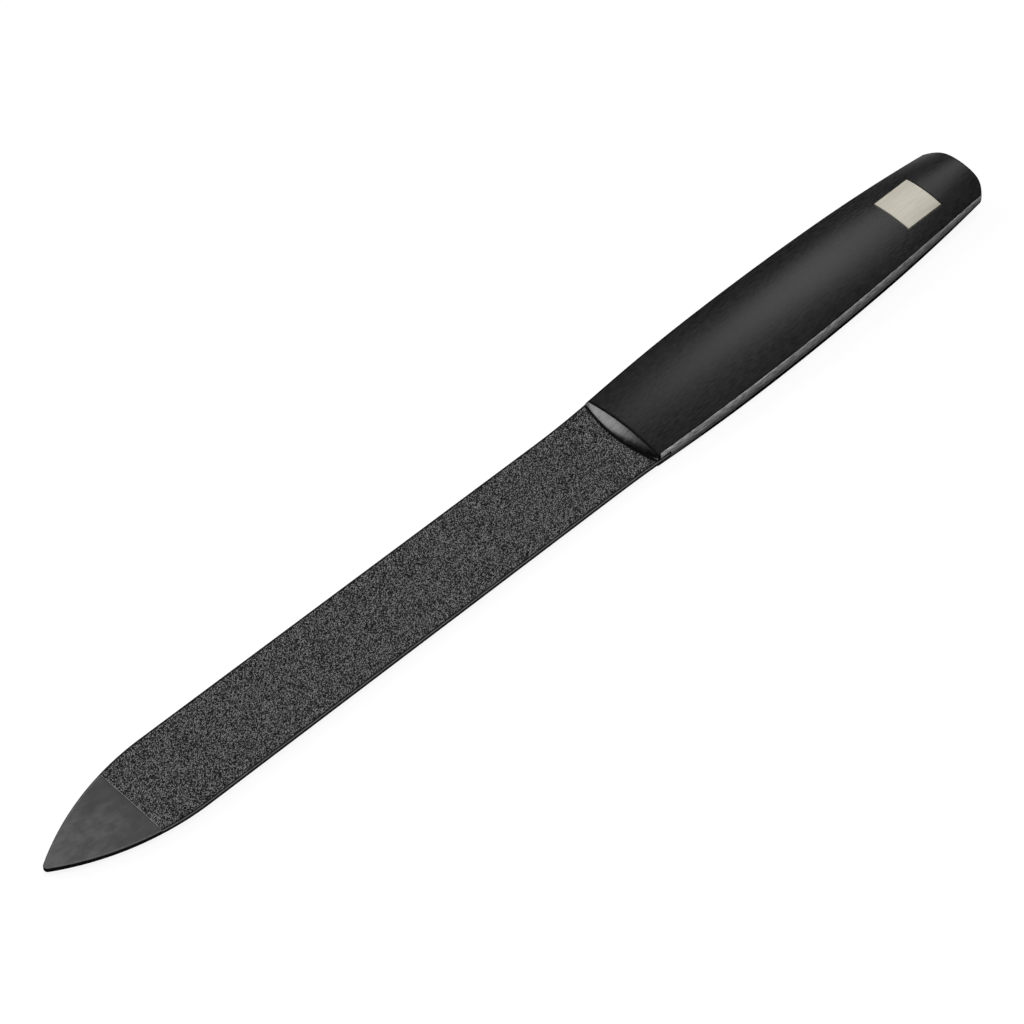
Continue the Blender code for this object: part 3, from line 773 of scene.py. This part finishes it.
def dome_slab(name, half_side, low, high, edge_radius, finishes=()):
    """A square slab that follows the dome, with rounded upper edges.

    Its faces lie at the dome's own height plus low and plus high.
    """
    step = np.linspace(-half_side, half_side, PLATE_POINTS)
    x, y = np.meshgrid(PLATE_STATION + step, step, indexing="ij")
    face = np.stack([x, y, dome_height(x, y) + high], axis=-1)
    bottom = face + np.array([0, 0, low - high])
    corner = rim(face)
    over_edge = rounded_loops(corner, towards(corner, inner_rim(face), edge_radius),
                              towards(corner, rim(bottom), edge_radius), PLATE_RIM_STEPS)
    number = np.arange(face.shape[0] * face.shape[1]).reshape(face.shape[:2])
    border = rim(number)
    flat = face.reshape(-1, 3)
    flat[border] = over_edge[0]
    count, size = len(flat), len(border)
    points = np.concatenate([flat, bottom.reshape(-1, 3), over_edge[1:].reshape(-1, 3)])
    order = np.concatenate([border, 2 * count + np.arange(PLATE_RIM_STEPS * size), count + border])
    faces = band_faces(*number.shape, False).tolist()
    faces += (count + band_faces(*number.shape, False)[:, ::-1]).tolist()
    faces += order[band_faces(PLATE_RIM_STEPS + 2, size, True)].tolist()
    return add_piece(name, placed(points), faces, finishes)


def mark_levels(piece):
    """Keeps on each point its height over the parting plane as a share of the wall's height."""
    mesh = piece.data
    flat = np.empty(3 * len(mesh.vertices), dtype=np.float32)
    mesh.vertices.foreach_get("co", flat)
    place = flat.reshape(-1, 3).astype(float)
    station = place[:, 0] - POINT_X
    height = place[:, 2] - MIDDLE_HEIGHT - bend_rise(station)
    level = height / dome_height(station, edge_half(station))
    attribute = mesh.attributes.new("level", "FLOAT", "POINT")
    attribute.data.foreach_set("value", level.astype(np.float32))


def brushed_black():
    """Black coated steel, brushed along the handle: short fine lines in shine and relief.

    The brushing gets coarser over the last part of the handle.
    """
    material, tree, shader = finish_tree("brushed_black")
    lines = pattern(tree, (1.1, 7.0, 7.0), 4.0)
    coarser = spread(tree, along_file(tree), 0.0, 0.09, (0.044, 0.060))
    roughness = combined(tree, "ADD", spread(tree, lines, 0.18, 0.26), coarser)
    tree.links.new(ramp(tree, lines, [(0.3, 0.008), (0.7, 0.021)]), shader.inputs["Base Color"])
    tree.links.new(roughness, shader.inputs["Roughness"])
    shader.inputs["Specular IOR Level"].default_value = 0.25
    raise_surface(tree, shader, lines, 0.006 * MM)
    return material


def ground_wall():
    """The side walls: grey steel ground along the handle, with painted shade that darkens them
    towards the ridge and most below it.
    """
    material, tree, shader = finish_tree("ground_wall")
    marks = pattern(tree, (1.2, 5.0, 7.0), 4.0)
    level = tree.nodes.new("ShaderNodeAttribute")
    level.attribute_name = "level"
    place = spread(tree, level.outputs["Fac"], 0.0, 1.0, (-0.5, 1.0))
    # Painted shade by height: dark at the ridge and below it, full at the upper edge.
    shade_tone = ramp(tree, place, [(0.10, 0.04), (0.21, 0.34), (0.32, 0.40), (0.46, 0.44),
                               (0.56, 0.72), (0.82, 0.76), (0.93, 1.0)])
    steel = ramp(tree, marks, [(0.35, 0.30), (0.65, 0.82)])
    with_painted_shade = tree.nodes.new("ShaderNodeVectorMath")
    with_painted_shade.operation = "MULTIPLY"
    tree.links.new(steel, with_painted_shade.inputs[0])
    tree.links.new(shade_tone, with_painted_shade.inputs[1])
    tree.links.new(with_painted_shade.outputs["Vector"], shader.inputs["Base Color"])
    tree.links.new(spread(tree, marks, 0.45, 0.6), shader.inputs["Roughness"])
    shader.inputs["Specular IOR Level"].default_value = 0.0
    raise_surface(tree, shader, marks, 0.003 * MM)
    return material


def cut_shoulder():
    """The shoulder's face: dark polished steel with a fine cut down the slope."""
    material, tree, shader = finish_tree("cut_shoulder")
    marks = pattern(tree, (0.8, 4.5, 1.5), 3.0)
    tree.links.new(ramp(tree, marks, [(0.3, 0.068), (0.7, 0.112)]), shader.inputs["Base Color"])
    tree.links.new(spread(tree, marks, 0.17, 0.22), shader.inputs["Roughness"])
    shader.inputs["Metallic"].default_value = 1.0
    raise_surface(tree, shader, marks, 0.002 * MM)
    return material


def dull_black_and_painted_shade():
    """The rounded edges, where the black coat is thickest and dull. The same black covers the
    lower scale's walls as painted shade.
    """
    material, tree, shader = finish_tree("dull_black_and_painted_shade")
    lines = pattern(tree, (1.5, 5.0, 5.0), 2.0)
    tree.links.new(ramp(tree, lines, [(0.3, 0.005), (0.7, 0.012)]), shader.inputs["Base Color"])
    tree.links.new(spread(tree, lines, 0.4, 0.5), shader.inputs["Roughness"])
    shader.inputs["Specular IOR Level"].default_value = 0.0
    return material


scale_finishes = [brushed_black(), ground_wall(), cut_shoulder(), dull_black_and_painted_shade()]
lower = scale_shell("lower_handle_scale", -1, scale_finishes, LOWER_RIM_AND_PAINTED_SHADE_BANDS)
carve(lower, hollows())
mark_levels(lower)
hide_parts("lower_scale")
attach(lower, "root")

upper = scale_shell("upper_handle_scale", 1, scale_finishes, UPPER_BLACK_BANDS)
recess = dome_slab("recess", PLATE_HALF_SIDE + PLATE_GAP, -PLATE_THICKNESS - RECESS_GAP_BELOW,
                   RECESS_CUT_OVER, RECESS_EDGE_RADIUS)
carve(upper, [recess, *hollows()])
mark_levels(upper)
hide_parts("upper_scale")
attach(upper, "root")

# Bond film. A thin layer of black resin cured between the flat faces of the scales, round the
# tang. It only shows as the dark bottom of the seam along the ridge.


def cured_resin():
    """Black resin with a faint cloudiness where it was squeezed out."""
    material, tree, shader = finish_tree("cured_resin")
    clouds = pattern(tree, (1.5, 1.5, 1.5), 3.0)
    tree.links.new(ramp(tree, clouds, [(0.3, 0.010), (0.7, 0.022)]), shader.inputs["Base Color"])
    tree.links.new(spread(tree, clouds, 0.45, 0.6), shader.inputs["Roughness"])
    return material


def repaint(node, material):
    """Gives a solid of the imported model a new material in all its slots."""
    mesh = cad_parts[node].data
    if not mesh.materials:
        mesh.materials.append(material)
    for index in range(len(mesh.materials)):
        mesh.materials[index] = material


repaint("bond_film", cured_resin())

# Locating pins. Two short dowels of plain ground steel, pressed through the tang with their
# ends in blind bores of both scales, so they don't show once the handle is closed.


def pin_steel():
    """Plain centreless-ground steel with rings of fine grinding marks."""
    material, tree, shader = finish_tree("ground_pin_steel")
    marks = pattern(tree, (1.0, 1.0, 12.0), 2.0)
    tree.links.new(ramp(tree, marks, [(0.3, 0.50), (0.7, 0.60)]), shader.inputs["Base Color"])
    tree.links.new(spread(tree, marks, 0.22, 0.34), shader.inputs["Roughness"])
    shader.inputs["Metallic"].default_value = 1.0
    return material


pin_finish = pin_steel()
repaint("front_tang_pin", pin_finish)
repaint("rear_tang_pin", pin_finish)

# Square plate. A thin bare plate of satin steel with a warm tint, curved with the dome, its
# edges lightly rounded. It is let into the upper scale and stands a hair proud.
PLATE_PROUD = 0.02 * MM
PLATE_EDGE_RADIUS = 0.03 * MM


def satin_plate():
    """Warm silvery satin steel, brushed along the handle."""
    material, tree, shader = finish_tree("satin_plate")
    lines = pattern(tree, (0.5, 8.0, 8.0), 3.0)
    tint = ramp(tree, lines, [(0.3, (0.52, 0.49, 0.41)), (0.7, (0.64, 0.61, 0.52))])
    tree.links.new(tint, shader.inputs["Base Color"])
    tree.links.new(spread(tree, lines, 0.32, 0.44), shader.inputs["Roughness"])
    shader.inputs["Metallic"].default_value = 0.15
    raise_surface(tree, shader, lines, 0.002 * MM)
    return material


plate = dome_slab("square_plate", PLATE_HALF_SIDE, PLATE_PROUD - PLATE_THICKNESS, PLATE_PROUD,
                  PLATE_EDGE_RADIUS, [satin_plate()])
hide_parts("badge_plate")
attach(plate, "root")

# Floor and surround. A plain pale floor that keeps the file's shadow, and a white wall all
# round it, up to some ten degrees above the horizon. Camera, mirror and glass rays see both
# as white, while nearly all the light on the file comes from the lamps.
FLOOR_HALF = 3.0
FLOOR_GREY = 0.14
FLOOR_GLOW_NEAR, FLOOR_GLOW_FAR = 0.90, 1.0
FLOOR_GLOW_REACH = (0.2, 0.6)
WALL_TOP = (0.16, 0.24)
SURROUND_LIGHT = 0.015
floor_mesh = bpy.data.meshes.new("floor")
floor_corners = [(-FLOOR_HALF, -FLOOR_HALF, 0), (FLOOR_HALF, -FLOOR_HALF, 0),
                 (FLOOR_HALF, FLOOR_HALF, 0), (-FLOOR_HALF, FLOOR_HALF, 0)]
floor_mesh.from_pydata(floor_corners, [], [(0, 1, 2, 3)])
floor = in_scene("floor", floor_mesh)


def seen_directly(tree):
    """One for camera, mirror and glass rays, zero for the rays that light the object."""
    path = tree.nodes.new("ShaderNodeLightPath")
    total = path.outputs["Is Camera Ray"]
    for kind in ("Is Glossy Ray", "Is Transmission Ray"):
        total = combined(tree, "MAXIMUM", total, path.outputs[kind])
    return total


floor_paint, floor_tree, floor_shader = finish_tree("floor_paint")
floor_shader.inputs["Base Color"].default_value = (FLOOR_GREY, FLOOR_GREY, FLOOR_GREY, 1.0)
floor_shader.inputs["Roughness"].default_value = 1.0
floor_shader.inputs["Specular IOR Level"].default_value = 0.0
floor_shader.inputs["Emission Color"].default_value = (1.0, 1.0, 1.0, 1.0)
ground = floor_tree.nodes.new("ShaderNodeTexCoord")
reach = floor_tree.nodes.new("ShaderNodeVectorMath")
reach.operation = "LENGTH"
floor_tree.links.new(ground.outputs["Object"], reach.inputs[0])
floor_white = spread(floor_tree, reach.outputs["Value"], FLOOR_GLOW_NEAR, FLOOR_GLOW_FAR,
                     FLOOR_GLOW_REACH)
floor_glow = combined(floor_tree, "MULTIPLY", seen_directly(floor_tree), floor_white)
floor_tree.links.new(floor_glow, floor_shader.inputs["Emission Strength"])
floor_mesh.materials.append(floor_paint)

world = bpy.data.worlds.new("surround")
bpy.context.scene.world = world
world.use_nodes = True
world_tree = world.node_tree
surround = world_tree.nodes["Background"]
surround.inputs["Color"].default_value = (1.0, 1.0, 1.0, 1.0)
way = world_tree.nodes.new("ShaderNodeTexCoord")
way_parts = world_tree.nodes.new("ShaderNodeSeparateXYZ")
world_tree.links.new(way.outputs["Generated"], way_parts.inputs["Vector"])
wall_white = spread(world_tree, way_parts.outputs["Z"], 1.0, 0.0, WALL_TOP)
wall_seen = combined(world_tree, "MULTIPLY", seen_directly(world_tree), wall_white)
wall_glow = spread(world_tree, wall_seen, SURROUND_LIGHT, 1.0, (0.0, 1.0))
world_tree.links.new(wall_glow, surround.inputs["Strength"])

# Lamps. Three large soft ones of plain white light: one behind to the right for the streak
# along the dome, one low on the far left for the shoulder, and one above that fills in the
# near side.


def looking(aim, azimuth, elevation, distance, roll=0.0):
    """Where a lamp or the camera stands, as a matrix, so that it looks at its aim.

    It stands back from the aim at an azimuth from +X towards +Y and an elevation above the
    floor. Its X axis is the cross product of up and back, Y that of back and X, and both are
    then turned about the line of sight by the roll, by sines and cosines.
    """
    turn, lift, roll = math.radians(azimuth), math.radians(elevation), math.radians(roll)
    flat = math.cos(lift)
    back = np.array([flat * math.cos(turn), flat * math.sin(turn), math.sin(lift)])
    right = np.cross((0, 0, 1), back)
    right /= np.linalg.norm(right)
    up = np.cross(back, right)
    pose = np.eye(4)
    pose[:3, 0] = right * math.cos(roll) + up * math.sin(roll)
    pose[:3, 1] = -right * math.sin(roll) + up * math.cos(roll)
    pose[:3, 2] = back
    pose[:3, 3] = np.array(aim) + back * distance
    return Matrix(pose.tolist())


def soft_lamp(name, shape, width, height, radiance, **place):
    """A flat lamp facing its aim: power is pi times its area times its radiance."""
    lamp = bpy.data.lights.new(name, "AREA")
    lamp.shape = shape
    lamp.size, lamp.size_y = width, height
    area = width * height * (math.pi / 4 if shape == "ELLIPSE" else 1.0)
    lamp.energy = math.pi * area * radiance
    holder = in_scene(name, lamp)
    holder.matrix_world = looking(**place)
    holder.visible_camera = False


soft_lamp("streak_lamp", "RECTANGLE", width=0.36, height=0.28, radiance=2.9,
          aim=(0.045, 0.0, 0.003), azimuth=37.5, elevation=47.7, distance=0.9)
soft_lamp("shoulder_lamp", "ELLIPSE", width=0.68, height=0.85, radiance=2.9,
          aim=(0.013, 0.0, 0.002), azimuth=116.0, elevation=31.0, distance=0.8)
soft_lamp("fill_lamp", "RECTANGLE", width=0.50, height=0.50, radiance=5.6,
          aim=(0.0, 0.0, 0.002), azimuth=-90.0, elevation=78.0, distance=0.9)

# Camera. It looks down on the file from its near side, with the point at the lower left and
# the handle at the upper right, from about half a metre through a long lens.
CAMERA_AIM = np.array([-1.814, 0.542, 1.076]) * MM
CAMERA_DISTANCE = 0.47682
CAMERA_AZIMUTH, CAMERA_ELEVATION, CAMERA_ROLL = -132.685, 50.817, -1.32
CAMERA_LENS, CAMERA_SENSOR = 163.24, 36.0
CAMERA_NEAR, CAMERA_FAR = 0.01, 20.0
camera_data = bpy.data.cameras.new("camera")
camera_data.sensor_width = CAMERA_SENSOR
camera_data.lens = CAMERA_LENS
camera_data.clip_start, camera_data.clip_end = CAMERA_NEAR, CAMERA_FAR
camera = in_scene("camera", camera_data)
camera.matrix_world = looking(CAMERA_AIM, CAMERA_AZIMUTH, CAMERA_ELEVATION, CAMERA_DISTANCE,
                              CAMERA_ROLL)
bpy.context.scene.camera = camera
bpy.context.scene.view_settings.view_transform = "Standard"

bpy.context.view_layer.update()
